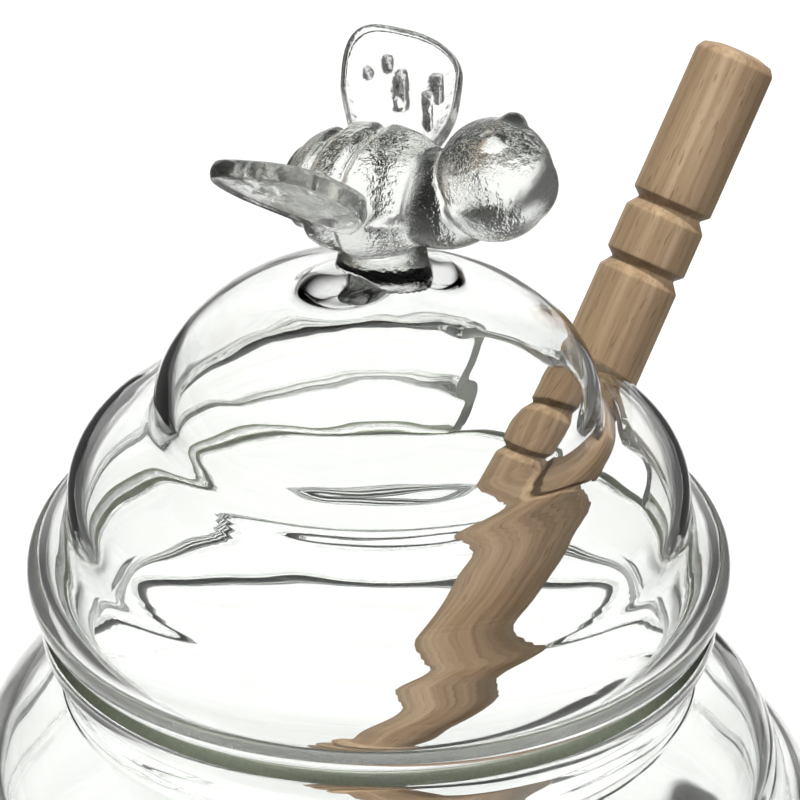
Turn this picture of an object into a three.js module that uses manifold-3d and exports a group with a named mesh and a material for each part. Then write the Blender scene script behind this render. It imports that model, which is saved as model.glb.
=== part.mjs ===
// Honey jar with a spoon: a clear glass pot blown in beehive tiers, a loose glass
// lid of three tiers with a solid glass bee on top, and a turned wooden honey
// dipper that stands in the pot and leans out through a cut in the lid.
// Millimetres, Z up, X to the right and Y away from the front; the origin is the
// middle of the pot's flat base.

import * as THREE from 'three';
import { mergeVertices } from 'three/addons/utils/BufferGeometryUtils.js';
import Module from 'manifold-3d';

const wasm = await Module();
wasm.setup();

// Pot, heights above its base
const LID_SEAT_Z = 68.0;
const REST_GAP = 0.3;
const RIM_R = 43.3;
const RIM_IN_R = 39.6;
const NECK_R = 40.6;
const NECK_Z = 56.8;
const NECK_IN_R = 38.3;
const POT_TIER_R = [51.9, 58.2, 60.0, 58.0];
const POT_TIER_Z = [44.8, 32.5, 19.5, 8.0];
const SHOULDER_BULGE = 1.45;
const POT_GROOVE_R = [51.1, 57.1, 57.6];
const POT_GROOVE_Z = [41.6, 28.0, 14.2];
const BASE_R = 47.0;
const POT_WALL = 2.4;
const FLOOR_T = 5.0;

// Lid, heights above its lower edge
const LID_APEX_Z = 45.2;
const LID_TOP_R = 28.4;
const LID_TOP_Z = 27.2;
const LID_GROOVE1_R = 27.6;
const LID_GROOVE1_Z = 24.5;
const LID_MID_R = 39.6;
const LID_MID_Z = 15.1;
const LID_GROOVE2_R = 38.6;
const LID_GROOVE2_Z = 10.4;
const LID_RING_R = 45.0;
const LID_RING_Z = 5.6;
const LID_EDGE_R = 43.3;
const LID_EDGE_W = 2.4;
const LID_WALL = 1.8;

// Cut in the lid for the dipper: direction from the back towards the right,
// then half widths at heights above the lid's lower edge
const CUT_AZ = 37.0;
const CUT_FROM_R = 28.2;
const CUT_TO_R = 60.0;
const CUT_HALF_W = [[27.0, 6.9], [24.5, 7.2], [10.4, 13.2], [4.5, 15.2], [-14.0, 18.6]];

// Bee, heights above the lid's lower edge
const BEE_TURN = 30.0;
const BEE_PITCH = 13.0;
const BEE_X = -1.0;
const BEE_Z = 57.7;
const BELLY_HALF_L = 11.8;
const BELLY_R = 7.9;
const RIDGE_APART = 0.465;
const RIDGE_FIRST = 0.25;
const RIDGE_DEPTH = 0.45;
const HEAD_AHEAD = 18.4;
const HEAD_R = 7.1;
const HEAD_UP = 1.6;
const CHEST_AHEAD = 10.5;
const CHEST_R = 5.6;
const CHEST_UP = -2.2;
const FEELER_R = 1.8;
const FAR_WING = {
  length: 22.0, rise: 0.5, thickness: 4.2, rootOut: 5.2, rootDrop: 0.4, dip: 0.221, slant: 3.6,
};
const NEAR_WING = {
  length: 19.4, rise: 0.58, thickness: 5.0, rootOut: 6.4, rootDrop: 1.4, dip: 0.48, slant: 2.0,
};
const WING_W = 15.8;
const WING_ROOT_AHEAD = 2.0;
const WING_SPAN_OUT = 0.731;
const WING_SPAN_BACK = 0.445;
const WING_CHORD_BACK = 0.895;
const WING_CHORD_IN = 0.388;
const STEM_X = 0.6;
const STEM_R = 5.5;
const STEM_FOOT_R = 6.8;
const STEM_OVAL = 0.65;

// Dipper, lengths along its own axis from the lower end
const DIPPER_L = 136.3;
const HANDLE_TOP_R = 5.45;
const HANDLE_LOW_R = 5.6;
const HANDLE_FROM = 27.0;
const HEAD_L = 20.0;
const DISC_R = [7.1, 8.9, 9.6, 9.2, 7.8];
const DISC_CORE_R = 5.2;
const DISC_GAP = 2.0;
const BAND_FROM_TOP = [23.1, 31.7, 53.0, 61.6];
const BAND_W = 2.5;
const BAND_DEPTH = 1.15;
const DIPPER_AT_SEAT = [21.74, 24.75];
const DIPPER_TILT = 34.88;
const DIPPER_AZ = 45.27;
const DIPPER_BELOW_SEAT = 72.4;

// Facets
const TURN_SEGMENTS = 48;
const DIPPER_SEGMENTS = 22;

const rad = (deg) => deg * Math.PI / 180;

// Quarter ellipse from its widest point to the point where it closes in; a bulge
// under 2 makes it flatter than an ellipse
function quarter(fromR, fromZ, toR, toZ, steps, bulge = 2) {
  const points = [];
  for (let i = 0; i <= steps; i += 1) {
    const t = i / steps * Math.PI / 2;
    const c = Math.max(0, Math.cos(t)) ** (2 / bulge);
    const s = Math.sin(t) ** (2 / bulge);
    points.push([toR + (fromR - toR) * c, fromZ + (toZ - fromZ) * s]);
  }
  return points;
}

// Joins runs of points, leaving out a point that repeats the one before it
function joinRuns(...runs) {
  const points = [];
  for (const point of runs.flat()) {
    const last = points[points.length - 1];
    if (!last || Math.hypot(point[0] - last[0], point[1] - last[1]) > 0.02) {
      points.push(point);
    }
  }
  return points;
}

// Closed body from an indexed geometry, turned the right way out
function solidOf(geometry) {
  geometry.deleteAttribute('normal');
  geometry.deleteAttribute('uv');
  const welded = mergeVertices(geometry, 1e-4);
  const index = welded.index.array;
  const position = welded.attributes.position;
  const kept = [];
  for (let i = 0; i < index.length; i += 3) {
    const [a, b, c] = [index[i], index[i + 1], index[i + 2]];
    if (a !== b && b !== c && c !== a) {
      kept.push(a, b, c);
    }
  }
  let volume = 0;
  const p = new THREE.Vector3();
  const q = new THREE.Vector3();
  const r = new THREE.Vector3();
  for (let i = 0; i < kept.length; i += 3) {
    p.fromBufferAttribute(position, kept[i]);
    q.fromBufferAttribute(position, kept[i + 1]);
    r.fromBufferAttribute(position, kept[i + 2]);
    volume += p.dot(q.cross(r));
  }
  if (volume < 0) {
    for (let i = 0; i < kept.length; i += 3) {
      [kept[i], kept[i + 1]] = [kept[i + 1], kept[i]];
    }
  }
  const mesh = new wasm.Mesh({
    numProp: 3,
    vertProperties: new Float32Array(position.array),
    triVerts: new Uint32Array(kept),
  });
  mesh.merge();
  return new wasm.Manifold(mesh);
}

// Body of revolution about Z from a profile of [radius, height]
function turned(profile, segments) {
  const points = profile.map(([r, z]) => new THREE.Vector2(r, z));
  const geometry = new THREE.LatheGeometry(points, segments);
  geometry.rotateX(Math.PI / 2);
  return geometry;
}

// Mesh of one piece
function piece(name, solid, colour, roughness) {
  const result = solid.getMesh();
  const geometry = new THREE.BufferGeometry();
  const xyz = new Float32Array(result.vertProperties);
  geometry.setAttribute('position', new THREE.BufferAttribute(xyz, 3));
  geometry.setIndex(new THREE.BufferAttribute(new Uint32Array(result.triVerts), 1));
  geometry.computeVertexNormals();
  const material = new THREE.MeshStandardMaterial({ color: colour, roughness });
  const mesh = new THREE.Mesh(geometry, material);
  mesh.name = name;
  return mesh;
}

// Pot: flat base, four tiers, neck and a rounded rim, with the inside following
function potSolid() {
  const outer = [[0, 0], [BASE_R - 1.5, 0], [BASE_R + 2.5, 0.9]];
  const lastTier = POT_TIER_R.length - 1;
  outer.push([BASE_R + 6.3, 2.6]);
  outer.push([BASE_R + 9.4, 5.2]);
  const climb = [];
  for (let i = lastTier; i >= 0; i -= 1) {
    const topR = i === 0 ? NECK_R : POT_GROOVE_R[i - 1];
    const topZ = i === 0 ? NECK_Z : POT_GROOVE_Z[i - 1];
    if (i < lastTier) {
      const low = quarter(POT_TIER_R[i], POT_TIER_Z[i], POT_GROOVE_R[i], POT_GROOVE_Z[i], 2);
      climb.push(low.reverse());
    }
    const bulge = i === 0 ? SHOULDER_BULGE : 2;
    climb.push(quarter(POT_TIER_R[i], POT_TIER_Z[i], topR, topZ, i === 0 ? 5 : 3, bulge));
  }
  const rimTop = LID_SEAT_Z - REST_GAP;
  const rim = [
    [NECK_R + 0.3, NECK_Z + 2.4],
    [NECK_R + 1.4, rimTop - 6.0],
    [RIM_R, rimTop - 3.6],
    [RIM_R, rimTop - 1.6],
    [RIM_R - 1.2, rimTop],
    [RIM_IN_R + 0.9, rimTop],
    [RIM_IN_R - 0.1, rimTop - 1.1],
    [RIM_IN_R - 0.6, rimTop - 4.5],
    [NECK_IN_R, NECK_Z + 2.0],
    [NECK_IN_R, NECK_Z - 0.8],
  ];
  const inner = [
    [POT_TIER_R[0] - 8.6, NECK_Z - 5.6],
    [POT_TIER_R[0] - 4.8, POT_TIER_Z[0] + 2.2],
    [POT_TIER_R[0] - POT_WALL, POT_TIER_Z[0] - 1.2],
    [POT_GROOVE_R[0] - POT_WALL, POT_GROOVE_Z[0] - 1.0],
    [POT_TIER_R[1] - POT_WALL - 1.6, POT_TIER_Z[1] + 4.6],
    [POT_TIER_R[1] - POT_WALL, POT_TIER_Z[1]],
    [POT_GROOVE_R[1] - POT_WALL, POT_GROOVE_Z[1] - 0.6],
    [POT_TIER_R[2] - POT_WALL - 0.6, POT_TIER_Z[2] + 4.4],
    [POT_TIER_R[2] - POT_WALL, POT_TIER_Z[2]],
    [POT_GROOVE_R[2] - POT_WALL, POT_GROOVE_Z[2]],
    [POT_TIER_R[3] - POT_WALL - 0.6, POT_TIER_Z[3] + 2.2],
    [POT_TIER_R[3] - POT_WALL - 2.8, FLOOR_T + 2.0],
    [BASE_R - 0.5, FLOOR_T],
    [0, FLOOR_T],
  ];
  const profile = joinRuns(outer, ...climb, rim, inner);
  return solidOf(turned(profile, TURN_SEGMENTS));
}

// Lid shell: three tiers outside, the inside following, and a flat lower edge
function lidShell() {
  const outer = joinRuns(
    quarter(LID_TOP_R, LID_TOP_Z, 0, LID_APEX_Z, 8).reverse(),
    quarter(LID_TOP_R, LID_TOP_Z, LID_GROOVE1_R, LID_GROOVE1_Z, 2),
    quarter(LID_MID_R, LID_MID_Z, LID_GROOVE1_R, LID_GROOVE1_Z, 5).reverse(),
    quarter(LID_MID_R, LID_MID_Z, LID_GROOVE2_R, LID_GROOVE2_Z, 2),
    quarter(LID_RING_R, LID_RING_Z, LID_GROOVE2_R, LID_GROOVE2_Z, 4).reverse(),
    quarter(LID_RING_R, LID_RING_Z, LID_EDGE_R, 0, 3),
  );
  const edge = [
    [LID_EDGE_R - LID_EDGE_W, 0],
    [LID_EDGE_R - LID_EDGE_W - 0.2, 0.9],
    [LID_RING_R - LID_WALL - 0.9, 2.4],
    [LID_RING_R - LID_WALL, LID_RING_Z - 0.4],
    [LID_RING_R - LID_WALL - 1.3, LID_RING_Z + 2.1],
    [LID_GROOVE2_R - 0.6, LID_GROOVE2_Z - LID_WALL + 0.4],
    [LID_GROOVE2_R - LID_WALL, LID_GROOVE2_Z + 0.4],
  ];
  const inside = joinRuns(
    quarter(LID_MID_R - LID_WALL, LID_MID_Z, LID_GROOVE1_R - 1.0, LID_GROOVE1_Z - LID_WALL, 5),
    [[LID_GROOVE1_R - LID_WALL, LID_GROOVE1_Z]],
    quarter(LID_TOP_R - LID_WALL, LID_TOP_Z, 0, LID_APEX_Z - LID_WALL, 7),
  );
  return solidOf(turned(joinRuns(outer, edge, inside), TURN_SEGMENTS));
}

// Tool for the cut in the lid: an outline that widens downwards, carried outwards
function cutSolid() {
  const outline = new THREE.Shape();
  CUT_HALF_W.forEach(([z, w], i) => {
    if (i === 0) {
      outline.moveTo(w, z);
    } else {
      outline.lineTo(w, z);
    }
  });
  [...CUT_HALF_W].reverse().forEach(([z, w]) => outline.lineTo(-w, z));
  outline.closePath();
  const depth = CUT_TO_R - CUT_FROM_R;
  const geometry = new THREE.ExtrudeGeometry(outline, { depth, bevelEnabled: false });
  const out = new THREE.Vector3(Math.sin(rad(CUT_AZ)), Math.cos(rad(CUT_AZ)), 0);
  const up = new THREE.Vector3(0, 0, 1);
  const across = new THREE.Vector3().crossVectors(up, out);
  const place = new THREE.Matrix4().makeBasis(across, up, out);
  geometry.translate(0, 0, CUT_FROM_R);
  geometry.applyMatrix4(place);
  return solidOf(mergeVertices(geometry));
}

// Bee directions: ahead along the body, to its left (away from the front), and up
const level = new THREE.Vector3(Math.cos(rad(BEE_TURN)), -Math.sin(rad(BEE_TURN)), 0);
const beeLeft = new THREE.Vector3(Math.sin(rad(BEE_TURN)), Math.cos(rad(BEE_TURN)), 0);
const beeAhead = level.clone().multiplyScalar(Math.cos(rad(BEE_PITCH)));
beeAhead.z = Math.sin(rad(BEE_PITCH));
const beeUp = new THREE.Vector3().crossVectors(beeAhead, beeLeft);
const beeMiddle = new THREE.Vector3(BEE_X, 0, BEE_Z);

// Point of the bee from lengths ahead, to the left and up
function beePoint(ahead, left, up) {
  const point = beeMiddle.clone();
  point.addScaledVector(beeAhead, ahead);
  point.addScaledVector(beeLeft, left);
  point.addScaledVector(beeUp, up);
  return point;
}

// Egg-shaped part of the bee, placed by its middle
function ball(middle, halfLength, radius, rows, segments) {
  const profile = [];
  for (let i = 0; i <= rows; i += 1) {
    const t = Math.PI * i / rows;
    profile.push([radius * Math.sin(t), -halfLength * Math.cos(t)]);
  }
  const geometry = turned(profile, segments);
  const place = new THREE.Matrix4().makeBasis(beeLeft, beeUp, beeAhead);
  place.setPosition(middle);
  geometry.applyMatrix4(place);
  return solidOf(geometry);
}

// Striped hind body: an ellipse of revolution with shallow rounded ridges
function bellySolid() {
  const rows = 22;
  const profile = [];
  for (let i = 0; i <= rows; i += 1) {
    const t = Math.PI * i / rows;
    const along = -Math.cos(t);
    const ridge = 0.5 + 0.5 * Math.cos(Math.PI * 2 / RIDGE_APART * (along - RIDGE_FIRST));
    const fade = Math.sin(t);
    profile.push([BELLY_R * fade - RIDGE_DEPTH * ridge * fade, BELLY_HALF_L * along]);
  }
  const geometry = turned(profile, 18);
  const place = new THREE.Matrix4().makeBasis(beeLeft, beeUp, beeAhead);
  place.setPosition(beeMiddle);
  geometry.applyMatrix4(place);
  return solidOf(geometry);
}

// Wing: a rounded plate with soft edges, from its root out, back and up; side is
// 1 for the far wing and -1 for the near one
function wingSolid(side, { length, rise, thickness, rootOut, rootDrop, dip, slant }) {
  const root = beeMiddle.clone();
  root.addScaledVector(level, WING_ROOT_AHEAD);
  root.addScaledVector(beeLeft, rootOut * side);
  root.z -= rootDrop;
  const span = beeLeft.clone().multiplyScalar(WING_SPAN_OUT * side);
  span.addScaledVector(level, -WING_SPAN_BACK);
  span.z += rise;
  span.normalize();
  const chord = level.clone().multiplyScalar(-WING_CHORD_BACK);
  chord.addScaledVector(beeLeft, -WING_CHORD_IN * side);
  chord.z -= dip;
  chord.addScaledVector(span, -chord.dot(span));
  chord.normalize();
  const face = new THREE.Vector3().crossVectors(span, chord);
  const count = 24;
  const rings = [[-0.5, 0.9], [-0.28, 1.0], [0.28, 1.0], [0.5, 0.9]];
  const positions = [];
  for (const [layer, inset] of rings) {
    for (let i = 0; i < count; i += 1) {
      const t = Math.PI * 2 * i / count;
      const c = Math.sign(Math.cos(t)) * Math.abs(Math.cos(t)) ** 0.62;
      const s = Math.sign(Math.sin(t)) * Math.abs(Math.sin(t)) ** 0.7;
      const along = length * (0.5 + 0.5 * c * inset) + slant * s * c;
      const broad = WING_W * (0.36 + 0.14 * Math.min(1, along / length * 1.6));
      const point = root.clone();
      point.addScaledVector(span, along);
      point.addScaledVector(chord, broad * s * inset);
      point.addScaledVector(face, thickness * layer * (1.15 - 0.35 * along / length));
      positions.push(point.x, point.y, point.z);
    }
  }
  const index = [];
  for (let k = 0; k + 1 < rings.length; k += 1) {
    for (let i = 0; i < count; i += 1) {
      const a = k * count + i;
      const b = k * count + (i + 1) % count;
      index.push(a, b, b + count, a, b + count, a + count);
    }
  }
  const top = (rings.length - 1) * count;
  for (let i = 1; i + 1 < count; i += 1) {
    index.push(0, i + 1, i, top, top + i, top + i + 1);
  }
  const geometry = new THREE.BufferGeometry();
  geometry.setAttribute('position', new THREE.Float32BufferAttribute(positions, 3));
  geometry.setIndex(index);
  return solidOf(geometry);
}

// Foot that joins the bee to the top of the lid
function stemSolid() {
  const low = LID_APEX_Z - 0.6;
  const profile = [
    [0, low],
    [STEM_FOOT_R, low - 0.7],
    [STEM_FOOT_R - 0.3, LID_APEX_Z - 0.2],
    [STEM_R + 0.5, LID_APEX_Z + 1.2],
    [STEM_R, LID_APEX_Z + 3.4],
    [STEM_R, LID_APEX_Z + 8.0],
    [0, LID_APEX_Z + 8.0],
  ];
  const geometry = turned(profile, 24);
  geometry.scale(1, STEM_OVAL, 1);
  geometry.translate(STEM_X, 0, 0);
  return solidOf(geometry);
}

// Lid with the cut and the bee, all one piece of glass
function lidSolid() {
  let lid = lidShell().subtract(cutSolid());
  const parts = [
    stemSolid(),
    bellySolid(),
    ball(beePoint(CHEST_AHEAD, 0, CHEST_UP), CHEST_R * 1.3, CHEST_R, 8, 14),
    ball(beePoint(HEAD_AHEAD, 0, HEAD_UP), HEAD_R, HEAD_R, 12, 18),
    ball(beePoint(HEAD_AHEAD + 2.4, 2.2, 7.2), FEELER_R, FEELER_R, 6, 8),
    ball(beePoint(HEAD_AHEAD + 2.2, -2.6, 6.7), FEELER_R, FEELER_R, 6, 8),
    ball(beePoint(0.7, -8.0, 0.3), 3.4, 3.0, 6, 10),
    wingSolid(1, FAR_WING),
    wingSolid(-1, NEAR_WING),
  ];
  for (const part of parts) {
    lid = lid.add(part);
  }
  return lid;
}

// Dipper: a head of discs, a waist, and a round handle with four cut bands
function dipperSolid() {
  const profile = [[0, 0]];
  const pitch = HEAD_L / DISC_R.length;
  DISC_R.forEach((r, i) => {
    const from = i * pitch;
    const to = from + pitch - DISC_GAP;
    profile.push([i === 0 ? r - 1.6 : r - 0.5, from]);
    profile.push([r, from + (to - from) * 0.45]);
    profile.push([r - 0.5, to]);
    profile.push([DISC_CORE_R, to + 0.3]);
    profile.push([DISC_CORE_R, to + DISC_GAP - 0.3]);
  });
  profile.push([HANDLE_LOW_R - 0.2, HANDLE_FROM - 4.0]);
  profile.push([HANDLE_LOW_R, HANDLE_FROM]);
  const handleR = (s) => {
    const part = (s - HANDLE_FROM) / (DIPPER_L - HANDLE_FROM);
    return HANDLE_LOW_R + (HANDLE_TOP_R - HANDLE_LOW_R) * part;
  };
  for (const back of [...BAND_FROM_TOP].reverse()) {
    const middle = DIPPER_L - back;
    profile.push([handleR(middle), middle - BAND_W / 2]);
    profile.push([handleR(middle) - BAND_DEPTH, middle + BAND_W * 0.1]);
    profile.push([handleR(middle), middle + BAND_W / 2]);
  }
  profile.push([HANDLE_TOP_R, DIPPER_L - 1.7]);
  profile.push([HANDLE_TOP_R * 0.88, DIPPER_L - 0.7]);
  profile.push([HANDLE_TOP_R * 0.5, DIPPER_L - 0.15]);
  profile.push([0, DIPPER_L]);
  return solidOf(turned(profile, DIPPER_SEGMENTS));
}

const group = new THREE.Group();
group.name = 'honey_jar';
group.add(piece('pot', potSolid(), 0xdfe6e0, 0.06));

const lid = piece('lid', lidSolid(), 0xe2e9e3, 0.06);
lid.position.z = LID_SEAT_Z;
group.add(lid);

// The dipper leans over the rim, so it is placed by the point of its axis at the
// height of the lid's seat
const lean = new THREE.Vector3(
  Math.sin(rad(DIPPER_TILT)) * Math.sin(rad(DIPPER_AZ)),
  Math.sin(rad(DIPPER_TILT)) * Math.cos(rad(DIPPER_AZ)),
  Math.cos(rad(DIPPER_TILT)),
);
const dipper = piece('dipper', dipperSolid(), 0xa88a68, 0.6);
dipper.quaternion.setFromUnitVectors(new THREE.Vector3(0, 0, 1), lean);
dipper.position.set(DIPPER_AT_SEAT[0], DIPPER_AT_SEAT[1], LID_SEAT_Z);
dipper.position.addScaledVector(lean, -DIPPER_BELOW_SEAT);
group.add(dipper);

export default group;
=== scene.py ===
"""Honey jar with a spoon: a clear glass pot blown in beehive tiers, its glass lid with
a fused glass bee and a cut for the spoon, and a turned wooden honey dipper.

Sizes are in millimetres with Z up, X to the right and Y away from the front, and the
origin is the middle of the pot's base; pieces are scaled to metres when they are made.
"""

import math

import bpy
import numpy as np
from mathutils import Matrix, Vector


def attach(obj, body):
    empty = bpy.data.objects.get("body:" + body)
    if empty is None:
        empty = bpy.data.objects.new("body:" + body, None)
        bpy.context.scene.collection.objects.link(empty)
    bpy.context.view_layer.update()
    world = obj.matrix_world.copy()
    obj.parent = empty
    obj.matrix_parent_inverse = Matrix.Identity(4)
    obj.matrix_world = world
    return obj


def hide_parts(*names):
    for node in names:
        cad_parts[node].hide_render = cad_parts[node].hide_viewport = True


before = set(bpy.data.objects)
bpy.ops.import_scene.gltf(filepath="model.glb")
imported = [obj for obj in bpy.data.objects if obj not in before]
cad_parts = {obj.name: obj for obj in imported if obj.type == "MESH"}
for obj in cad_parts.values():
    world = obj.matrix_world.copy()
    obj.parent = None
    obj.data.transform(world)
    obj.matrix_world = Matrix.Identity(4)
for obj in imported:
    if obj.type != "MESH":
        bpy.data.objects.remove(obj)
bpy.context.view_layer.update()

MM = 0.001

# Pot, heights above its base
LID_SEAT_Z = 68.0
REST_GAP = 0.3
RIM_R = 43.3
RIM_TOP_IN_R = 40.5
RIM_IN_R = 39.6
NECK_R = 40.6
NECK_Z = 56.8
NECK_IN_R = 38.3
POT_TIER_R = [51.9, 58.2, 60.0, 58.0]
POT_TIER_Z = [44.8, 32.5, 19.5, 8.0]
SHOULDER_BULGE = 1.45
POT_GROOVE_R = [51.1, 57.1, 57.6]
POT_GROOVE_Z = [41.6, 28.0, 14.2]
BASE_R = 47.0
POT_WALL = 2.4
FLOOR_T = 5.0

# Lid, heights above its lower edge
LID_APEX_Z = 45.2
LID_TOP_R = 28.4
LID_TOP_Z = 27.2
LID_GROOVE1_R = 27.6
LID_GROOVE1_Z = 24.5
LID_MID_R = 39.6
LID_MID_Z = 15.1
LID_GROOVE2_R = 38.6
LID_GROOVE2_Z = 10.4
LID_RING_R = 45.0
LID_RING_Z = 5.6
LID_EDGE_R = 43.3
LID_WALL_Z = [0.0, 5.6, 10.4, 15.1, 24.5, 28.0, 36.0, 45.2]
LID_WALL = [2.6, 2.2, 1.7, 1.7, 1.4, 1.6, 1.1, 1.2]
LID_EDGE_W = 2.4
LID_INSIDE_FROM_Z = 1.6

# Cut in the lid: direction from the back towards the right, and half widths at
# heights above the lid's lower edge
CUT_AZ = 37.0
CUT_FROM_R = 28.2
CUT_TO_R = 60.0
CUT_Z = [25.0, 24.5, 10.4, 4.5, -14.0]
CUT_HALF_W = [7.1, 7.2, 13.2, 15.2, 18.6]
CUT_BEAD = 1.0
CUT_BEAD_W = 2.4
CUT_BEAD_FROM_R = 24.0
CUT_BEAD_FADE = 4.0

# Bee, heights above the lid's lower edge, other lengths from the middle of its body
BEE_TURN = 30.0
BEE_PITCH = 13.0
BEE_X = -1.0
BEE_Z = 57.7
BELLY_HALF_L = 11.8
BELLY_R = 7.9
RIDGE_APART = 0.465
RIDGE_FIRST = 0.25
RIDGE_BACK = 0.2
RIDGE_DEPTH = 0.85
SEAM_UP = -1.7
SEAM_W = 0.3
SEAM_OUT = 1.0
HEAD_AHEAD = 18.4
HEAD_R = 7.1
HEAD_UP = 1.6
CHEST_AHEAD = 10.5
CHEST_R = 6.2
CHEST_UP = -1.6
CHEST_HALF_L = 8.06
MOUTH = (HEAD_AHEAD + 2.4, 0.0, 0.4)
MOUTH_HALF_L = 5.4
MOUTH_R = 5.2
FEELERS = [(HEAD_AHEAD + 2.4, 2.2, 7.1), (HEAD_AHEAD + 2.2, -2.6, 6.6)]
FEELER_R = 1.8
NEAR_ROOT = (0.7, -8.0, 0.3)
NEAR_ROOT_HALF_L = 3.4
NEAR_ROOT_R = 3.0
FAR_ROOT = (0.7, 7.2, 0.6)
FAR_ROOT_HALF_L = 2.8
FAR_ROOT_R = 2.3

# Wings: shares of their directions outwards and backwards, powers that round their
# outline and section, and shares of width and thickness
WING_W = 15.8
WING_ROOT_AHEAD = 2.0
WING_OUT = 0.731
WING_BACK = 0.445
CHORD_BACK = 0.895
CHORD_IN = 0.388
ROUND_ALONG = 0.62
ROUND_ACROSS = 0.7
ROUND_INSET = 0.75
ROUND_EDGE = 0.7
HALF_W_AT_ROOT = 0.36
HALF_W_GAIN = 0.14
HALF_W_GAIN_RATE = 1.6
THICK_AT_ROOT = 1.25
THICK_LOSS = 0.4
BLADE_THICK = 0.5
RIM_THICK = 0.6
RIM_AT = 0.97
RIM_W = 0.035
FAR_WING = {"length": 22.0, "rise": 0.5, "thickness": 4.4, "root_out": 5.2, "root_drop": 0.4,
            "dip": 0.221, "slant": 3.6}
NEAR_WING = {"length": 19.4, "rise": 0.58, "thickness": 5.6, "root_out": 6.4, "root_drop": 1.4,
             "dip": 0.48, "slant": 2.0}
STEM_X = 0.6
STEM_R = 5.5
STEM_FOOT_R = 6.8
STEM_OVAL = np.array([1.0, 0.65, 1.0])

# Lobes of glass where the bee was fused on: middle, half widths and height
FUSED_LOBES = [(-4.2, -1.0, 5.2, 5.0, 2.2), (7.2, 2.6, 2.8, 3.4, 1.7)]

# Veins pressed into the wings: share of the length, place across in mm,
# half length and half width in mm
WING_VEINS = [(0.54, 0.0, 2.4, 0.55), (0.52, -4.6, 1.7, 0.5),
              (0.74, 1.6, 0.7, 0.4), (0.38, -3.4, 2.4, 0.3), (0.70, 4.2, 0.3, 0.35)]
VEIN_DEPTH = 2.2
VEIN_END = 0.4
VEIN_FACE = 6.0

# Dipper, lengths along its own axis from the lower end
DIPPER_L = 136.3
HANDLE_TOP_R = 5.45
HANDLE_LOW_R = 5.6
HANDLE_FROM = 27.0
DIP_HEAD_L = 20.0
DISC_R = [7.1, 8.9, 9.6, 9.2, 7.8]
DISC_CORE_R = 5.2
DISC_GAP = 2.0
BAND_FROM_TOP = [23.1, 31.7, 53.0, 61.6]
BAND_W = 2.5
BAND_DEPTH = 1.15
DIPPER_AT_SEAT = (21.74, 24.75)
DIPPER_TILT = 34.88
DIPPER_AZ = 45.27
DIPPER_BELOW_SEAT = 72.4

# Unevenness of the glass: sines of depth, waves round, length apart and shift, a fine
# ripple, and where both fade out
SLOW_WAVES = [(0.10, 2, 11.0, 0.0), (0.06, 5, -7.0, 1.3)]
RIPPLE_DEPTH = 0.006
RIPPLE_APART = 0.9
RIPPLE_BENDS = [(2.0, 3), (1.7, 7)]
FADE_FROM_R = 4.0
FADE_OVER_R = 18.0
FADE_OVER_Z = 4.0

# Rounding of the glass in its grooves and along its edges, and the ground faces
LID_SOFT = 2.0
POT_SOFT = 2.0
EDGE_SOFT = 0.45
GROUND_TO_Z = 0.5
RIM_GROUND_H = 1.5
STEM_SOFT = 0.5
DIPPER_SOFT = 0.16

# Fineness of the surfaces
POT_ROWS = 300
LID_ROWS = 300
GLASS_COLUMNS = 168
FINE_BELOW_APEX = 3.0
BEE_VOXEL = 0.3
BEE_SMOOTH = 0.5
BEE_SMOOTH_TIMES = 4
WING_ROWS = 56
WING_COLUMNS = 144
OUTLINE_STEPS = 4001
STEM_ROWS = 60
STEM_COLUMNS = 56
DIPPER_ROWS = 300
DIPPER_COLUMNS = 64

# Camera as the photograph was taken
PHOTO_PX = 800
CAMERA_RISE = 29.41
CAMERA_FAR = 650.0
CAMERA_LOOK_Z = 88.0
CAMERA_RIGHT = 2.742
CAMERA_UP = 6.750
PX_PER_MM = 7.933
SENSOR_MM = 36.0
LIGHT_BOUNCES = 11


def quarter(from_r, from_z, to_r, to_z, steps=24, bulge=2.0):
    """Quarter ellipse from its widest point to the point where it closes in:
    radius = to + (from - to) cos(t)^(2/bulge), height = from + (to - from) sin(t)^(2/bulge)."""
    t = np.linspace(0.0, math.pi / 2, steps + 1)
    c = np.clip(np.cos(t), 0.0, None) ** (2.0 / bulge)
    s = np.sin(t) ** (2.0 / bulge)
    return np.stack([to_r + (from_r - to_r) * c, from_z + (to_z - from_z) * s], axis=1)


def rounded(runs, soft, on_axis=(True, True), step=0.1):
    """Runs of (radius, height) walked at even steps, where each point becomes the
    bell-weighted mean of its neighbours within a few times soft. An end on the axis is
    carried on as its mirror image, and any other end as its own half turn."""
    points = np.concatenate([np.asarray(run, dtype=float) for run in runs])
    apart = np.hypot(*np.diff(points, axis=0).T) > 1e-6
    points = points[np.concatenate([[True], apart])]
    walk = np.concatenate([[0.0], np.cumsum(np.hypot(*np.diff(points, axis=0).T))])
    at = np.linspace(0.0, walk[-1], int(walk[-1] / step) + 1)
    even = np.stack([np.interp(at, walk, points[:, 0]), np.interp(at, walk, points[:, 1])], axis=1)
    reach = int(4 * soft / step)
    bell = np.exp(-0.5 * (np.arange(-reach, reach + 1) * step / soft) ** 2)
    bell /= bell.sum()
    before = even[reach:0:-1]
    after = even[-2:-reach - 2:-1]
    mirror = np.array([-1.0, 1.0])
    before = before * mirror if on_axis[0] else 2.0 * even[0] - before
    after = after * mirror if on_axis[1] else 2.0 * even[-1] - after
    long = np.concatenate([before, even, after])
    return np.stack([np.convolve(long[:, 0], bell, "valid"),
                     np.convolve(long[:, 1], bell, "valid")], axis=1)


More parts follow.
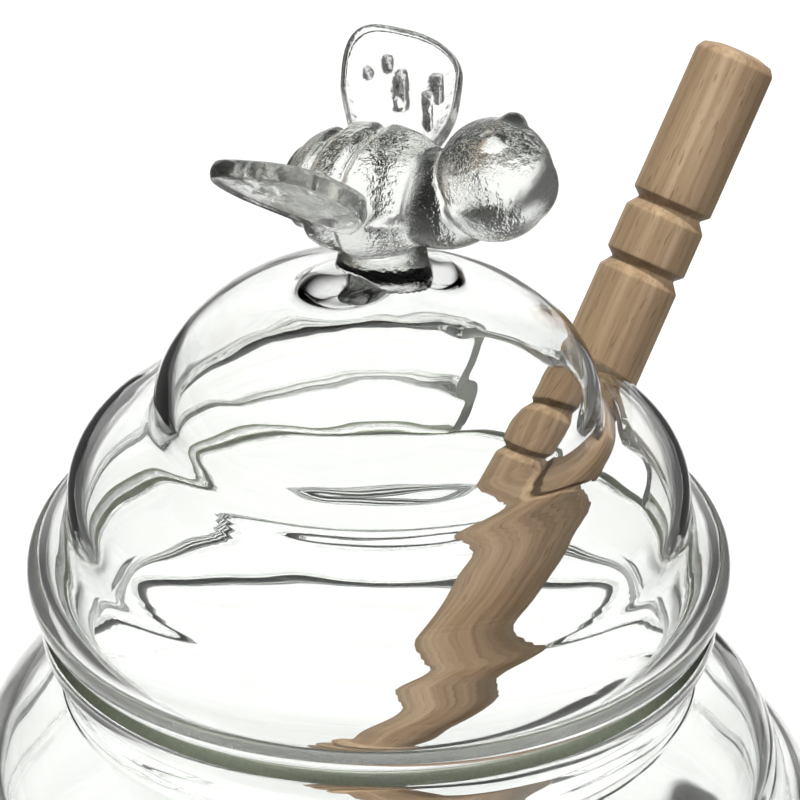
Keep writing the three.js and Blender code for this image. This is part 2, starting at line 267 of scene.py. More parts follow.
def inner_wall(outer, wall):
    """Profile at the wall's thickness inside an outer one that is walked with the glass
    on its left: each point moves along the normal to its left."""
    slope = np.gradient(outer, axis=0)
    slope /= np.linalg.norm(slope, axis=1)[:, None]
    return outer + np.stack([-slope[:, 1], slope[:, 0]], axis=1) * np.asarray(wall)[..., None]


def spread_rows(profile, rows, fine_above=1e9, row_step=1.5, row_turn=0.1, closer=3.0):
    """Rows of a profile from axis to axis, spread so that each spans the same share of
    length and of turning; above a height they lie three times as close."""
    r, z = profile.T
    heading = np.unwrap(np.arctan2(np.gradient(z), np.gradient(r)))
    share = np.hypot(np.diff(r), np.diff(z)) / row_step + np.abs(np.diff(heading)) / row_turn
    share = share * np.where(z[1:] > fine_above, closer, 1.0)
    spread = np.concatenate([[0.0], np.cumsum(share)])
    even = np.linspace(0.0, spread[-1], rows)
    made = np.stack([np.interp(even, spread, r), np.interp(even, spread, z)], axis=1)
    made[[0, -1], 0] = 0.0
    return made


def turned_surface(profile, columns, waver=None):
    """Surface of revolution about the third axis, (r cos a, r sin a, z) for each row of
    the profile and each angle a, moved along its normal by waver(angle, length along the
    profile, radius, height), with a fan of triangles at each end on the axis."""
    angle = np.arange(columns) * (2.0 * math.pi / columns)
    r, z = profile.T
    slope_r = np.gradient(r)
    slope_z = np.gradient(z)
    long = np.hypot(slope_r, slope_z)
    length = np.concatenate([[0.0], np.cumsum(np.hypot(np.diff(r), np.diff(z)))])
    push = np.zeros((len(r), columns))
    if waver is not None:
        push = waver(angle[None, :], length[:, None], r[:, None], z[:, None])
    push_r = push * (slope_z / long)[:, None]
    push_z = push * (-slope_r / long)[:, None]
    radius = (r[:, None] + push_r)[1:-1]
    height = (z[:, None] + push_z)[1:-1]
    grid = np.stack([radius * np.cos(angle), radius * np.sin(angle), height], axis=-1)
    points = np.concatenate([grid.reshape(-1, 3), [[0.0, 0.0, z[0]], [0.0, 0.0, z[-1]]]])
    return points, capped_faces(len(r) - 2, columns)


def capped_faces(rows, columns):
    """Faces of rows by columns points joined round each row, with two more points after
    them that close the first and the last row."""
    i, j = np.meshgrid(np.arange(rows - 1), np.arange(columns), indexing="ij")
    k = (j + 1) % columns
    quads = np.stack([i * columns + j, i * columns + k,
                      (i + 1) * columns + k, (i + 1) * columns + j], axis=-1).reshape(-1, 4)
    ring = np.arange(columns)
    after = (ring + 1) % columns
    first = np.full(columns, rows * columns)
    low = np.stack([first, after, ring], axis=1)
    top = (rows - 1) * columns
    high = np.stack([first + 1, ring + top, after + top], axis=1)
    return quads.tolist() + low.tolist() + high.tolist()


def make_piece(name, points, faces, material, flat=False):
    """Mesh object at the origin from points in millimetres."""
    mesh = bpy.data.meshes.new(name)
    mesh.from_pydata((np.asarray(points) * MM).tolist(), [], faces)
    mesh.materials.append(material)
    mesh.polygons.foreach_set("use_smooth", np.full(len(mesh.polygons), not flat))
    mesh.update()
    piece = bpy.data.objects.new(name, mesh)
    bpy.context.scene.collection.objects.link(piece)
    return piece


def face_middles(piece):
    """Middles of a piece's faces, in millimetres."""
    middles = np.empty(len(piece.data.polygons) * 3)
    piece.data.polygons.foreach_get("center", middles)
    return middles.reshape(-1, 3) / MM


def second_finish(piece, material, chosen):
    """Gives the chosen faces of a piece a second finish."""
    piece.data.materials.append(material)
    piece.data.polygons.foreach_set("material_index", chosen.astype(np.int32))


def settle(piece):
    """Gives the piece the mesh that its modifiers make, and takes the modifiers away."""
    graph = bpy.context.evaluated_depsgraph_get()
    made = bpy.data.meshes.new_from_object(piece.evaluated_get(graph), depsgraph=graph)
    piece.modifiers.clear()
    piece.data = made


def join_cut(piece, tool, operation):
    """Joins a tool to a piece or cuts it out of it; the tool's faces keep their finish."""
    change = piece.modifiers.new("change", "BOOLEAN")
    change.operation = operation
    change.solver = "MANIFOLD"
    change.material_mode = "TRANSFER"
    change.object = tool
    settle(piece)
    bpy.data.objects.remove(tool)


def colour(hex_code):
    """Linear red, green, blue and alpha from an sRGB hex code."""
    srgb = np.array([int(hex_code[i:i + 2], 16) for i in (1, 3, 5)]) / 255.0
    linear = np.where(srgb <= 0.04045, srgb / 12.92, ((srgb + 0.055) / 1.055) ** 2.4)
    return (*(float(v) for v in linear), 1.0)


def add_node(tree, kind, values=None, links=None, **settings):
    """Adds one node with its settings, socket values and links."""
    made = tree.nodes.new(kind)
    for name, value in settings.items():
        setattr(made, name, value)
    for socket, value in (values or {}).items():
        made.inputs[socket].default_value = value
    for socket, source in (links or {}).items():
        tree.links.new(source, made.inputs[socket])
    return made


def per_mm(size):
    """Noise scale on Object coordinates in metres for features of a size in millimetres."""
    return 1.0 / (size * MM)


def new_material(name):
    """Empty node material and its output."""
    material = bpy.data.materials.new(name)
    material.use_nodes = True
    tree = material.node_tree
    tree.nodes.clear()
    return material, tree, add_node(tree, "ShaderNodeOutputMaterial")


# Clear soda-lime glass, blown in a mould and fire polished: colourless through one wall,
# grey-green along its edges, with a slow waver and faint smears of handling
GLASS_IOR = 1.52
GLASS_TINT = "#C3CBBB"
GLASS_DENSITY = 10.0


def finish_glass(tree, output, surface):
    """Links a glass surface, and gives the glass behind it the tint of its depth."""
    depth = add_node(tree, "ShaderNodeVolumeAbsorption",
                     {"Color": colour(GLASS_TINT), "Density": GLASS_DENSITY})
    tree.links.new(surface.outputs["BSDF"], output.inputs["Surface"])
    tree.links.new(depth.outputs["Volume"], output.inputs["Volume"])


def clear_glass():
    """Fire-polished glass: a fine ripple of 6 mm bends the light and changes the gloss a
    little."""
    material, tree, output = new_material("fire_polished_clear_glass")
    place = add_node(tree, "ShaderNodeTexCoord")
    ripple = add_node(tree, "ShaderNodeTexNoise", {"Scale": per_mm(6.0), "Detail": 0.0},
                      {"Vector": place.outputs["Object"]})
    bump = add_node(tree, "ShaderNodeBump", {"Strength": 0.35, "Distance": 0.00006},
                    {"Height": ripple.outputs["Fac"]})
    gloss = add_node(tree, "ShaderNodeMapRange",
                     {"From Min": 0.45, "From Max": 0.8, "To Min": 0.0, "To Max": 0.02},
                     {"Value": ripple.outputs["Fac"]})
    glass = add_node(tree, "ShaderNodeBsdfPrincipled",
                     {"Base Color": colour("#FDFEFD"), "IOR": GLASS_IOR,
                      "Transmission Weight": 1.0},
                     {"Roughness": gloss.outputs["Result"], "Normal": bump.outputs["Normal"]})
    finish_glass(tree, output, glass)
    return material


def moulded_glass():
    """Pressed glass of the bee: the mould's fine tooling, about 1.1 mm, shows as a
    broken glitter along the edges."""
    material, tree, output = new_material("pressed_moulded_glass")
    place = add_node(tree, "ShaderNodeTexCoord")
    tooling = add_node(tree, "ShaderNodeTexNoise",
                       {"Scale": per_mm(1.1), "Detail": 3.0, "Roughness": 0.6},
                       {"Vector": place.outputs["Object"]})
    bump = add_node(tree, "ShaderNodeBump", {"Strength": 1.0, "Distance": 0.00018},
                    {"Height": tooling.outputs["Fac"]})
    gloss = add_node(tree, "ShaderNodeMapRange",
                     {"From Min": 0.35, "From Max": 0.75, "To Min": 0.0, "To Max": 0.06},
                     {"Value": tooling.outputs["Fac"]})
    glass = add_node(tree, "ShaderNodeBsdfPrincipled",
                     {"Base Color": colour("#F9FAF8"), "IOR": GLASS_IOR,
                      "Transmission Weight": 1.0},
                     {"Roughness": gloss.outputs["Result"], "Normal": bump.outputs["Normal"]})
    finish_glass(tree, output, glass)
    return material


def ground_glass():
    """Glass cut with a wheel and left matt: the grit, drawn as coarse as 0.6 mm so that
    it shows, scatters the light, and the wall behind it gives a grey-green body."""
    material, tree, output = new_material("wheel_cut_ground_glass")
    place = add_node(tree, "ShaderNodeTexCoord")
    grit = add_node(tree, "ShaderNodeTexNoise",
                    {"Scale": per_mm(0.6), "Detail": 3.0, "Roughness": 0.7},
                    {"Vector": place.outputs["Object"]})
    bump = add_node(tree, "ShaderNodeBump", {"Strength": 0.7, "Distance": 0.00015},
                    {"Height": grit.outputs["Fac"]})
    shade = add_node(tree, "ShaderNodeMix",
                     {"A": colour("#3F4335"), "B": colour("#80846F")},
                     {"Factor": grit.outputs["Fac"]}, data_type="RGBA")
    glass = add_node(tree, "ShaderNodeBsdfPrincipled",
                     {"Roughness": 0.42, "IOR": GLASS_IOR, "Transmission Weight": 1.0},
                     {"Base Color": shade.outputs["Result"], "Normal": bump.outputs["Normal"]})
    finish_glass(tree, output, glass)
    return material


GRAIN_PLACE = "grain_place"


def beech_wood():
    """Bare turned beech: pale and dark streaks along the handle, 0.9 mm across and 30 mm
    long, within broad bands of 5 mm by 60 mm, and short dark flecks, 0.4 mm by 2.4 mm, on
    a matt surface. The piece's own attribute gives the place in millimetres, with the
    third value along the grain."""
    material, tree, output = new_material("bare_turned_beech")
    place = add_node(tree, "ShaderNodeAttribute", attribute_name=GRAIN_PLACE)
    long_place = add_node(tree, "ShaderNodeMapping", {"Scale": (1 / 0.9, 1 / 0.9, 1 / 30.0)},
                          {"Vector": place.outputs["Vector"]})
    streak = add_node(tree, "ShaderNodeTexNoise", {"Scale": 1.0, "Detail": 5.0, "Roughness": 0.6},
                      {"Vector": long_place.outputs["Vector"]})
    broad_place = add_node(tree, "ShaderNodeMapping", {"Scale": (1 / 5.0, 1 / 5.0, 1 / 60.0)},
                           {"Vector": place.outputs["Vector"]})
    broad = add_node(tree, "ShaderNodeTexNoise", {"Scale": 1.0, "Detail": 2.0},
                     {"Vector": broad_place.outputs["Vector"]})
    fleck_place = add_node(tree, "ShaderNodeMapping", {"Scale": (1 / 0.4, 1 / 0.4, 1 / 2.4)},
                           {"Vector": place.outputs["Vector"]})
    fleck = add_node(tree, "ShaderNodeTexNoise", {"Scale": 1.0, "Detail": 1.0},
                     {"Vector": fleck_place.outputs["Vector"]})
    both = add_node(tree, "ShaderNodeMath", operation="ADD",
                    links={0: streak.outputs["Fac"], 1: broad.outputs["Fac"]})
    half = add_node(tree, "ShaderNodeMath", {1: 0.5}, operation="MULTIPLY",
                    links={0: both.outputs["Value"]})
    tone = add_node(tree, "ShaderNodeValToRGB", links={"Fac": half.outputs["Value"]})
    ramp = tone.color_ramp
    ramp.elements[0].position = 0.38
    ramp.elements[0].color = colour("#826B53")
    ramp.elements[1].position = 0.64
    ramp.elements[1].color = colour("#B0997F")
    middle = ramp.elements.new(0.51)
    middle.color = colour("#9A8368")
    dark = add_node(tree, "ShaderNodeMapRange",
                    {"From Min": 0.62, "From Max": 0.74, "To Min": 0.0, "To Max": 0.55},
                    {"Value": fleck.outputs["Fac"]})
    body = add_node(tree, "ShaderNodeMix", {"B": colour("#69533C")},
                    {"Factor": dark.outputs["Result"], "A": tone.outputs["Color"]},
                    data_type="RGBA")
    bump = add_node(tree, "ShaderNodeBump", {"Strength": 0.5, "Distance": 0.0001},
                    {"Height": streak.outputs["Fac"]})
    rough = add_node(tree, "ShaderNodeMapRange",
                     {"From Min": 0.3, "From Max": 0.7, "To Min": 0.5, "To Max": 0.7},
                     {"Value": streak.outputs["Fac"]})
    wood = add_node(tree, "ShaderNodeBsdfPrincipled", {"IOR": 1.45, "Specular IOR Level": 0.35},
                    {"Base Color": body.outputs["Result"], "Roughness": rough.outputs["Result"],
                     "Normal": bump.outputs["Normal"]})
    tree.links.new(wood.outputs["BSDF"], output.inputs["Surface"])
    return material


def glass_waver(angle, length, radius, height):
    """Slow unevenness of hand-finished glass, in millimetres along the normal: sines of
    the angle and of the length along the profile, fading out towards the axis and towards
    the lower edge."""
    slow = sum(depth * np.sin(waves * angle + length / apart + shift)
               for depth, waves, apart, shift in SLOW_WAVES)
    bend = sum(size * np.sin(waves * angle) for size, waves in RIPPLE_BENDS)
    ripple = RIPPLE_DEPTH * np.sin(length / RIPPLE_APART + bend)
    off_axis = np.clip((radius - FADE_FROM_R) / FADE_OVER_R, 0.0, 1.0)
    off_edge = np.clip(height / FADE_OVER_Z, 0.0, 1.0)
    return (slow + ripple) * off_axis * off_edge


def cut_directions():
    """Level directions of the lid's cut: outwards, and across it to the left."""
    turn = math.radians(CUT_AZ)
    return (np.array([math.sin(turn), math.cos(turn), 0.0]),
            np.array([-math.cos(turn), math.sin(turn), 0.0]))


def lid_waver(angle, length, radius, height):
    """Unevenness of the lid: that of all the glass; on the outside near the top the lobes
    of glass that spread when the bee was fused on, height exp(-d^4) for a distance d from
    a lobe's middle in shares of its half width; on the inside the bead along the cut,
    height exp(-d^2) for a distance d from the cut's faces in shares of its width."""
    x = radius * np.cos(angle)
    y = radius * np.sin(angle)
    lobes = np.zeros_like(x)
    for lobe_x, lobe_y, half_x, half_y, rise in FUSED_LOBES:
        off = ((x - lobe_x) / half_x) ** 2 + ((y - lobe_y) / half_y) ** 2
        lobes = lobes + rise * np.exp(-off ** 2)
    out_dir, side_dir = cut_directions()
    half = np.interp(height, CUT_Z[::-1], CUT_HALF_W[::-1])
    aside = (np.abs(x * side_dir[0] + y * side_dir[1]) - half) / CUT_BEAD_W
    outward = x * out_dir[0] + y * out_dir[1]
    near_cut = np.clip((outward - CUT_BEAD_FROM_R) / CUT_BEAD_FADE, 0.0, 1.0)
    bead = CUT_BEAD * np.exp(-aside ** 2) * near_cut
    outside = length > 0.5 * length.max()
    return glass_waver(angle, length, radius, height) + np.where(outside, lobes, bead)


def pot_profile():
    """Flat base, four tiers of quarter ellipses, neck and rounded rim, then the inside,
    which keeps a wall's thickness from the tiers down to a flat floor."""
    last = len(POT_TIER_R) - 1
    foot = [(0, 0), (BASE_R - 1.5, 0), (BASE_R + 2.5, 0.9), (BASE_R + 6.3, 2.6),
            (BASE_R + 9.4, 5.2)]
    tiers = []
    for i in range(last, -1, -1):
        top_r = NECK_R if i == 0 else POT_GROOVE_R[i - 1]
        top_z = NECK_Z if i == 0 else POT_GROOVE_Z[i - 1]
        if i < last:
            low = quarter(POT_TIER_R[i], POT_TIER_Z[i], POT_GROOVE_R[i], POT_GROOVE_Z[i])
            tiers.append(low[::-1])
        bulge = SHOULDER_BULGE if i == 0 else 2.0
        tiers.append(quarter(POT_TIER_R[i], POT_TIER_Z[i], top_r, top_z, bulge=bulge))
    seat = LID_SEAT_Z - REST_GAP
    rim = [(NECK_R + 0.3, NECK_Z + 2.4), (NECK_R + 1.4, seat - 6.0), (RIM_R, seat - 3.6),
           (RIM_R, seat - 1.6), (RIM_R - 1.2, seat), (RIM_TOP_IN_R, seat),
           (RIM_IN_R - 0.1, seat - 1.1), (RIM_IN_R - 0.6, seat - 4.5), (NECK_IN_R, NECK_Z + 2.0)]
    wall = rounded(tiers, POT_SOFT, (False, False))
    thick = np.interp(wall[:, 1], [POT_TIER_Z[0], NECK_Z], [POT_WALL, NECK_R - NECK_IN_R])
    inside = inner_wall(wall, thick)[::-1]
    floor = [(POT_TIER_R[last] - POT_WALL - 2.8, FLOOR_T + 1.4), (BASE_R - 0.5, FLOOR_T),
             (0, FLOOR_T)]
    return rounded([foot, wall, rim, inside, floor], EDGE_SOFT)


def lid_profile():
    """Inside of the lid from its top down, at a wall's thickness from the outside, then
    the ground lower edge, and the three tiers of quarter ellipses up to the top."""
    ring = [quarter(LID_RING_R, LID_RING_Z, LID_EDGE_R, 0)[::-1],
            quarter(LID_RING_R, LID_RING_Z, LID_GROOVE2_R, LID_GROOVE2_Z)]
    tiers = [quarter(LID_MID_R, LID_MID_Z, LID_GROOVE2_R, LID_GROOVE2_Z)[::-1],
             quarter(LID_MID_R, LID_MID_Z, LID_GROOVE1_R, LID_GROOVE1_Z),
             quarter(LID_TOP_R, LID_TOP_Z, LID_GROOVE1_R, LID_GROOVE1_Z)[::-1],
             quarter(LID_TOP_R, LID_TOP_Z, 0, LID_APEX_Z)]
    outer = rounded(ring + tiers, LID_SOFT, (False, True))
    inside = inner_wall(outer, np.interp(outer[:, 1], LID_WALL_Z, LID_WALL))
    inside = inside[np.argmax(outer[:, 1] > LID_INSIDE_FROM_Z):][::-1]
    edge = [(LID_EDGE_R - LID_EDGE_W - 0.2, 0.9), (LID_EDGE_R - LID_EDGE_W, 0)]
    return rounded([inside, edge, outer], EDGE_SOFT)


def cut_tool():
    """Prism that makes the lid's cut: an outline that widens downwards, (half width,
    height) on both sides, carried outwards along the cut's direction."""
    half = np.array(CUT_HALF_W)
    height = np.array(CUT_Z) + LID_SEAT_Z
    across = np.concatenate([half, -half[::-1]])
    up = np.concatenate([height, height[::-1]])
    count = len(across)
    out_dir, side_dir = cut_directions()
    ends = [across[:, None] * side_dir + up[:, None] * np.array([0.0, 0.0, 1.0]) + reach * out_dir
            for reach in (CUT_FROM_R, CUT_TO_R)]
    ring = np.arange(count)
    after = (ring + 1) % count
    sides = np.stack([ring, ring + count, after + count, after], axis=1).tolist()
    return np.concatenate(ends), sides + [ring.tolist(), (ring[::-1] + count).tolist()]


def bee_frame():
    """Middle of the bee's body and its directions: level heading, ahead, left and up."""
    turn = math.radians(BEE_TURN)
    pitch = math.radians(BEE_PITCH)
    level = np.array([math.cos(turn), -math.sin(turn), 0.0])
    left = np.array([math.sin(turn), math.cos(turn), 0.0])
    ahead = level * math.cos(pitch) + np.array([0.0, 0.0, math.sin(pitch)])
    middle = np.array([BEE_X, 0.0, BEE_Z + LID_SEAT_Z])
    return middle, level, ahead, left, np.cross(ahead, left)


def bee_ball(place, half_length, radius, rows=48, columns=56, ridged=False, seamed=False):
    """Egg shape about the bee's body line: radius sin(t), length -cos(t); a ridged one is
    drawn in by narrow grooves, cos^12 along its length, that run back down its sides, and
    a seamed one is a little wider below the line where the mould's halves met, a step
    of tanh."""
    middle, _, ahead, left, up = bee_frame()
    t = np.linspace(0.0, math.pi, rows + 1)
    along = -np.cos(t)
    wide = np.sin(t)
    profile = np.stack([radius * wide, half_length * along], axis=1)
    profile[[0, -1], 0] = 0.0
    points, faces = turned_surface(profile, columns)
    if ridged:
        from_top = np.arctan2(np.abs(points[:, 0]), points[:, 1])
        share = points[:, 2] / half_length - RIDGE_FIRST + RIDGE_BACK * from_top
        groove = np.cos(math.pi / RIDGE_APART * np.minimum(share, RIDGE_APART / 2)) ** 12
        points[:, :2] *= (1.0 - RIDGE_DEPTH / radius * groove)[:, None]
    if seamed:
        swell = 1.0 + SEAM_OUT / radius * (0.5 - 0.5 * np.tanh((points[:, 1] - SEAM_UP) / SEAM_W))
        points[:, :2] *= swell[:, None]
    basis = np.stack([left, up, ahead])
    centre = middle + place[0] * ahead + place[1] * left + place[2] * up
    return points @ basis + centre, faces


def bent(value, power):
    """Power of a value's size, with the value's own sign."""
    return np.sign(value) * np.abs(value) ** power


def wing(side, length, rise, thickness, root_out, root_drop, dip, slant):
    """Wing plate from its root out, back and up; side is 1 for the far wing and -1 for
    the near one. Its outline is a superellipse of cos^0.62 along and sin^0.7 across, with
    points at even steps. Its section is a superellipse with a bell-shaped bead along the
    border, and veins are pressed into the upper face as bell-shaped grooves."""
    middle, level, _, left, _ = bee_frame()
    z_dir = np.array([0.0, 0.0, 1.0])
    root = middle + WING_ROOT_AHEAD * level + root_out * side * left - root_drop * z_dir
    span = WING_OUT * side * left - WING_BACK * level + rise * z_dir
    span /= np.linalg.norm(span)
    chord = -CHORD_BACK * level - CHORD_IN * side * left - dip * z_dir
    chord -= span * (chord @ span)
    chord /= np.linalg.norm(chord)
    face = np.cross(span, chord)
    close = np.linspace(0.0, 2.0 * math.pi, OUTLINE_STEPS)
    step = np.hypot(np.diff(length * bent(np.cos(close), ROUND_ALONG)),
                    np.diff(WING_W * bent(np.sin(close), ROUND_ACROSS)))
    walk = np.concatenate([[0.0], np.cumsum(step)])
    around = np.interp(np.arange(WING_COLUMNS) / WING_COLUMNS * walk[-1], walk, close)
    c = bent(np.cos(around), ROUND_ALONG)
    s = bent(np.sin(around), ROUND_ACROSS)
    tilt = np.linspace(-math.pi / 2, math.pi / 2, WING_ROWS + 2)[:, None]
    inset = np.clip(np.cos(tilt), 0.0, None) ** ROUND_INSET
    layer = 0.5 * bent(np.sin(tilt), ROUND_EDGE)
    along = length * (0.5 + 0.5 * c * inset) + slant * s * c * inset
    gain = np.clip(along / length * HALF_W_GAIN_RATE, None, 1.0)
    across = WING_W * (HALF_W_AT_ROOT + HALF_W_GAIN * gain) * s * inset
    bead = np.exp(-((inset - RIM_AT) / RIM_W) ** 2)
    taper = THICK_AT_ROOT - THICK_LOSS * along / length
    lift = thickness * taper * (BLADE_THICK + RIM_THICK * bead) * layer
    upper = np.clip(side * layer * VEIN_FACE, 0.0, 1.0)
    for share, place, half_long, half_wide in WING_VEINS:
        far_long = np.clip((np.abs(along - share * length) - half_long) / VEIN_END, 0.0, None)
        far_wide = (across - place) / half_wide
        lift = lift - side * VEIN_DEPTH * upper * np.exp(-far_wide ** 2 - far_long ** 2)
    grid = root + along[..., None] * span + across[..., None] * chord + lift[..., None] * face
    ends = grid[[0, -1]].mean(axis=1)
    points = np.concatenate([grid[1:-1].reshape(-1, 3), ends])
    return points, capped_faces(WING_ROWS, WING_COLUMNS)


def stem():
    """Short oval foot between the bee and the lid, flared where it was fused on."""
    low = LID_APEX_Z - 0.6
    profile = [(0, low), (STEM_FOOT_R, low - 0.7), (STEM_FOOT_R - 0.3, LID_APEX_Z - 0.2),
               (STEM_R + 0.5, LID_APEX_Z + 1.2), (STEM_R, LID_APEX_Z + 3.4),
               (STEM_R, LID_APEX_Z + 8.0), (0, LID_APEX_Z + 8.0)]
    rows = spread_rows(rounded([profile], STEM_SOFT), STEM_ROWS)
    points, faces = turned_surface(rows, STEM_COLUMNS)
    return points * STEM_OVAL + np.array([STEM_X, 0.0, LID_SEAT_Z]), faces


def bee_parts():
    """All closed parts of the bee but its wings, and its foot, as one list of points and
    faces."""
    parts = [
        bee_ball((0, 0, 0), BELLY_HALF_L, BELLY_R, 120, 96, ridged=True, seamed=True),
        bee_ball((CHEST_AHEAD, 0, CHEST_UP), CHEST_HALF_L, CHEST_R),
        bee_ball((HEAD_AHEAD, 0, HEAD_UP), HEAD_R, HEAD_R, 72, 96, seamed=True),
        bee_ball(MOUTH, MOUTH_HALF_L, MOUTH_R),
        bee_ball(FEELERS[0], FEELER_R, FEELER_R, 24, 32),
        bee_ball(FEELERS[1], FEELER_R, FEELER_R, 24, 32),
        bee_ball(NEAR_ROOT, NEAR_ROOT_HALF_L, NEAR_ROOT_R, 32, 40),
        bee_ball(FAR_ROOT, FAR_ROOT_HALF_L, FAR_ROOT_R, 24, 32),
        stem(),
    ]
    points = np.concatenate([part[0] for part in parts])
    before = np.cumsum([0] + [len(part[0]) for part in parts[:-1]])
    faces = [[corner + start for corner in item]
             for start, part in zip(before.tolist(), parts) for item in part[1]]
    return points, faces


def dipper_profile():
    """Head of turned discs, waist, round handle with four cut bands, domed end."""
    runs = [(0, 0)]
    pitch = DIP_HEAD_L / len(DISC_R)
    for i, r in enumerate(DISC_R):
        start = i * pitch
        stop = start + pitch - DISC_GAP
        runs += [(r - (1.6 if i == 0 else 0.5), start), (r, start + (stop - start) * 0.45),
                 (r - 0.5, stop), (DISC_CORE_R, stop + 0.3), (DISC_CORE_R, start + pitch - 0.3)]
    runs += [(HANDLE_LOW_R - 0.2, HANDLE_FROM - 4.0), (HANDLE_LOW_R, HANDLE_FROM)]
    taper = (HANDLE_TOP_R - HANDLE_LOW_R) / (DIPPER_L - HANDLE_FROM)
    for back in reversed(BAND_FROM_TOP):
        middle = DIPPER_L - back
        r = HANDLE_LOW_R + taper * (middle - HANDLE_FROM)
        runs += [(r, middle - BAND_W / 2), (r - BAND_DEPTH, middle + BAND_W * 0.1),
                 (r, middle + BAND_W / 2)]
    runs += [(HANDLE_TOP_R, DIPPER_L - 1.7), (HANDLE_TOP_R * 0.88, DIPPER_L - 0.7),
             (HANDLE_TOP_R * 0.5, DIPPER_L - 0.15), (0, DIPPER_L)]
    return rounded([runs], DIPPER_SOFT)


def dipper_points(local):
    """Points of the dipper from its own axes to its leaning place in the pot."""
    tilt = math.radians(DIPPER_TILT)
    turn = math.radians(DIPPER_AZ)
    lean = np.array([math.sin(tilt) * math.sin(turn), math.sin(tilt) * math.cos(turn),
                     math.cos(tilt)])
    side = np.cross(np.array([0.0, 0.0, 1.0]), lean)
    side /= np.linalg.norm(side)
    foot = np.array([*DIPPER_AT_SEAT, LID_SEAT_Z]) - DIPPER_BELOW_SEAT * lean
    return local @ np.stack([side, np.cross(lean, side), lean]) + foot


clear = clear_glass()
pressed = moulded_glass()
ground = ground_glass()
beech = beech_wood()

# Pot
points, faces = turned_surface(spread_rows(pot_profile(), POT_ROWS),
                               GLASS_COLUMNS, glass_waver)
pot = make_piece("pot_glass", points, faces, clear)
middles = face_middles(pot)
on_rim = middles[:, 2] > LID_SEAT_Z - REST_GAP - RIM_GROUND_H
outside = np.hypot(middles[:, 0], middles[:, 1]) > RIM_TOP_IN_R
second_finish(pot, ground, on_rim & outside)
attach(pot, "root")
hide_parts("pot")
pot.visible_shadow = False

# Lid: shell, then the cut, then the bee's body fused to its top, then the wings
lid_rows = spread_rows(lid_profile(), LID_ROWS, LID_APEX_Z - FINE_BELOW_APEX)
points, faces = turned_surface(lid_rows, GLASS_COLUMNS, lid_waver)
lid = make_piece("lid_glass", points + np.array([0.0, 0.0, LID_SEAT_Z]), faces, clear)
second_finish(lid, ground, face_middles(lid)[:, 2] < LID_SEAT_Z + GROUND_TO_Z)
points, faces = cut_tool()
join_cut(lid, make_piece("cut_tool", points, faces, ground, flat=True), "DIFFERENCE")
points, faces = bee_parts()
bee = make_piece("bee", points, faces, pressed)
fuse = bee.modifiers.new("fuse", "REMESH")
fuse.mode = "VOXEL"
fuse.voxel_size = BEE_VOXEL * MM
fuse.use_smooth_shade = True
soften = bee.modifiers.new("soften", "SMOOTH")
soften.factor = BEE_SMOOTH
soften.iterations = BEE_SMOOTH_TIMES
settle(bee)
join_cut(lid, bee, "UNION")
for side, sizes in ((1, FAR_WING), (-1, NEAR_WING)):
    points, faces = wing(side, **sizes)
    join_cut(lid, make_piece("wing", points, faces, pressed), "UNION")
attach(lid, "root")
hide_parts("lid")
lid.visible_shadow = False

# Dipper
local, faces = turned_surface(spread_rows(dipper_profile(), DIPPER_ROWS), DIPPER_COLUMNS)
dipper = make_piece("dipper_wood", dipper_points(local), faces, beech)
grain = dipper.data.attributes.new(GRAIN_PLACE, "FLOAT_VECTOR", "POINT")
grain.data.foreach_set("vector", local.astype(np.float32).ravel())
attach(dipper, "root")
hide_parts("dipper")

# Pale floor
FLOOR_HALF = 2500.0
FLOOR_Z = -0.05
floor_material, floor_tree, floor_output = new_material("pale_studio_floor")
floor_shader = add_node(floor_tree, "ShaderNodeBsdfPrincipled",
                        {"Base Color": colour("#F6F6F5"), "Roughness": 0.9})
floor_tree.links.new(floor_shader.outputs["BSDF"], floor_output.inputs["Surface"])
floor_corners = [(-FLOOR_HALF, -FLOOR_HALF, FLOOR_Z), (FLOOR_HALF, -FLOOR_HALF, FLOOR_Z),
                 (FLOOR_HALF, FLOOR_HALF, FLOOR_Z), (-FLOOR_HALF, FLOOR_HALF, FLOOR_Z)]
floor = make_piece("floor", floor_corners, [[0, 1, 2, 3]], floor_material, flat=True)

# Soft studio room, bright behind the jar and a little overhead and dim at the sides, so
# that the edges of the glass draw dark lines
OVERHEAD_GLOW = {"From Min": 0.55, "From Max": 1.0, "To Min": 0.01, "To Max": 0.3}
REAR_GLOW = {"From Min": 0.72, "From Max": 0.92, "To Min": 0.0, "To Max": 0.95}
scene = bpy.context.scene
world = bpy.data.worlds.new("studio")
scene.world = world
world.use_nodes = True
sky = world.node_tree
sky.nodes.clear()
look = add_node(sky, "ShaderNodeTexCoord")
heading = add_node(sky, "ShaderNodeSeparateXYZ", links={"Vector": look.outputs["Generated"]})
overhead = add_node(sky, "ShaderNodeMapRange", OVERHEAD_GLOW, {"Value": heading.outputs["Z"]},
                    interpolation_type="SMOOTHSTEP")
rear = add_node(sky, "ShaderNodeMapRange", REAR_GLOW, {"Value": heading.outputs["Y"]},
                interpolation_type="SMOOTHSTEP")
brighter = add_node(sky, "ShaderNodeMath", operation="MAXIMUM",
                    links={0: overhead.outputs["Result"], 1: rear.outputs["Result"]})
glow = add_node(sky, "ShaderNodeBackground", {"Color": (1.0, 1.0, 1.0, 1.0)},
                {"Strength": brighter.outputs["Value"]})
add_node(sky, "ShaderNodeOutputWorld", links={"Surface": glow.outputs["Background"]})

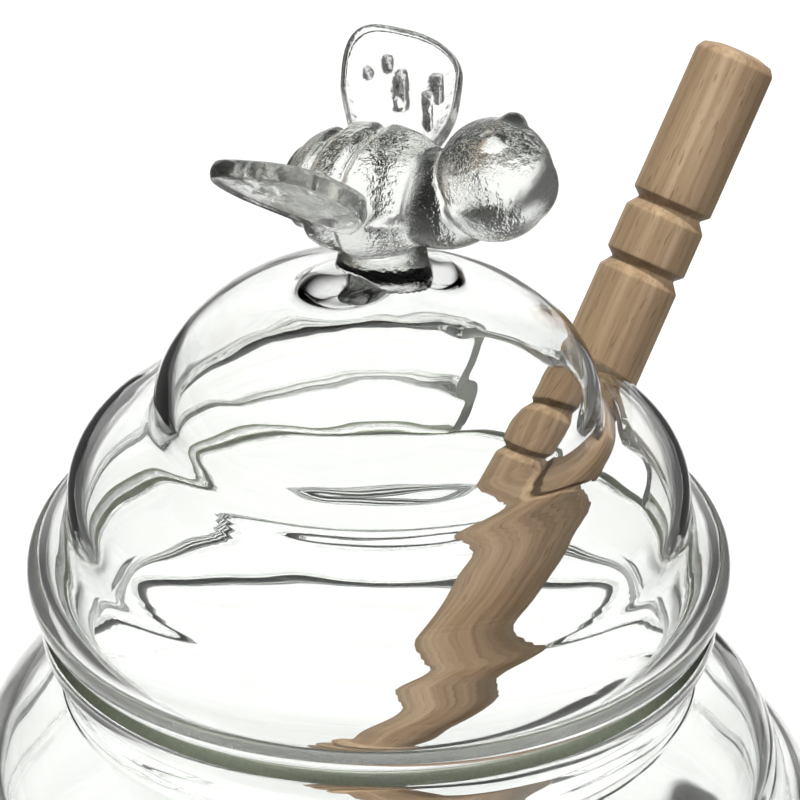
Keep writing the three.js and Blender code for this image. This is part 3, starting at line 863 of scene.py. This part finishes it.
# Lamps: one overhead makes a white strip of floor under and behind the jar, and one on
# each side lights the wood alone; places and sizes in metres, spread in degrees
WOOD_MIDDLE = (0.03, 0.06, 0.09)
LAMPS = [
    {"name": "floor_lamp", "place": (0.0, 0.58, 1.2), "target": (0.0, 0.58, 0.0),
     "size": (0.2, 1.3), "spread": 2.0, "watts": 0.98, "wood_alone": False},
    {"name": "left_lamp", "place": (-0.85, -0.3, 0.8), "target": WOOD_MIDDLE,
     "size": (0.22, 0.22), "spread": 8.0, "watts": 0.057, "wood_alone": True},
    {"name": "right_lamp", "place": (0.8, -0.42, 0.75), "target": WOOD_MIDDLE,
     "size": (0.22, 0.22), "spread": 8.0, "watts": 0.09, "wood_alone": True},
]
wood_only = bpy.data.collections.new("wood_only")
wood_only.objects.link(dipper)
for values in LAMPS:
    lamp_data = bpy.data.lights.new(values["name"], "AREA")
    lamp_data.shape = "RECTANGLE"
    lamp_data.size, lamp_data.size_y = values["size"]
    lamp_data.spread = math.radians(values["spread"])
    lamp_data.energy = values["watts"]
    lamp = bpy.data.objects.new(values["name"], lamp_data)
    lamp.location = values["place"]
    lamp.visible_glossy = False
    if values["wood_alone"]:
        lamp.light_linking.receiver_collection = wood_only
    toward = Vector(values["target"]) - Vector(values["place"])
    lamp.rotation_euler = toward.to_track_quat("-Z", "Y").to_euler()
    scene.collection.objects.link(lamp)

# Camera
rise_angle = math.radians(CAMERA_RISE)
back = Vector((0.0, -math.cos(rise_angle), math.sin(rise_angle)))
upward = Vector((0.0, math.sin(rise_angle), math.cos(rise_angle)))
look_at = Vector((0.0, 0.0, CAMERA_LOOK_Z))
stand = look_at + back * CAMERA_FAR
aim = look_at + Vector((CAMERA_RIGHT, 0.0, 0.0)) + upward * CAMERA_UP
camera_data = bpy.data.cameras.new("camera")
camera_data.sensor_width = SENSOR_MM
camera_data.lens = PX_PER_MM * CAMERA_FAR * SENSOR_MM / PHOTO_PX
camera = bpy.data.objects.new("camera", camera_data)
camera.location = stand * MM
camera.rotation_euler = (aim - stand).to_track_quat("-Z", "Y").to_euler()
scene.collection.objects.link(camera)
scene.camera = camera
scene.view_settings.view_transform = "Standard"
scene.cycles.max_bounces = LIGHT_BOUNCES
scene.cycles.transmission_bounces = LIGHT_BOUNCES
scene.cycles.caustics_reflective = False
scene.cycles.caustics_refractive = False
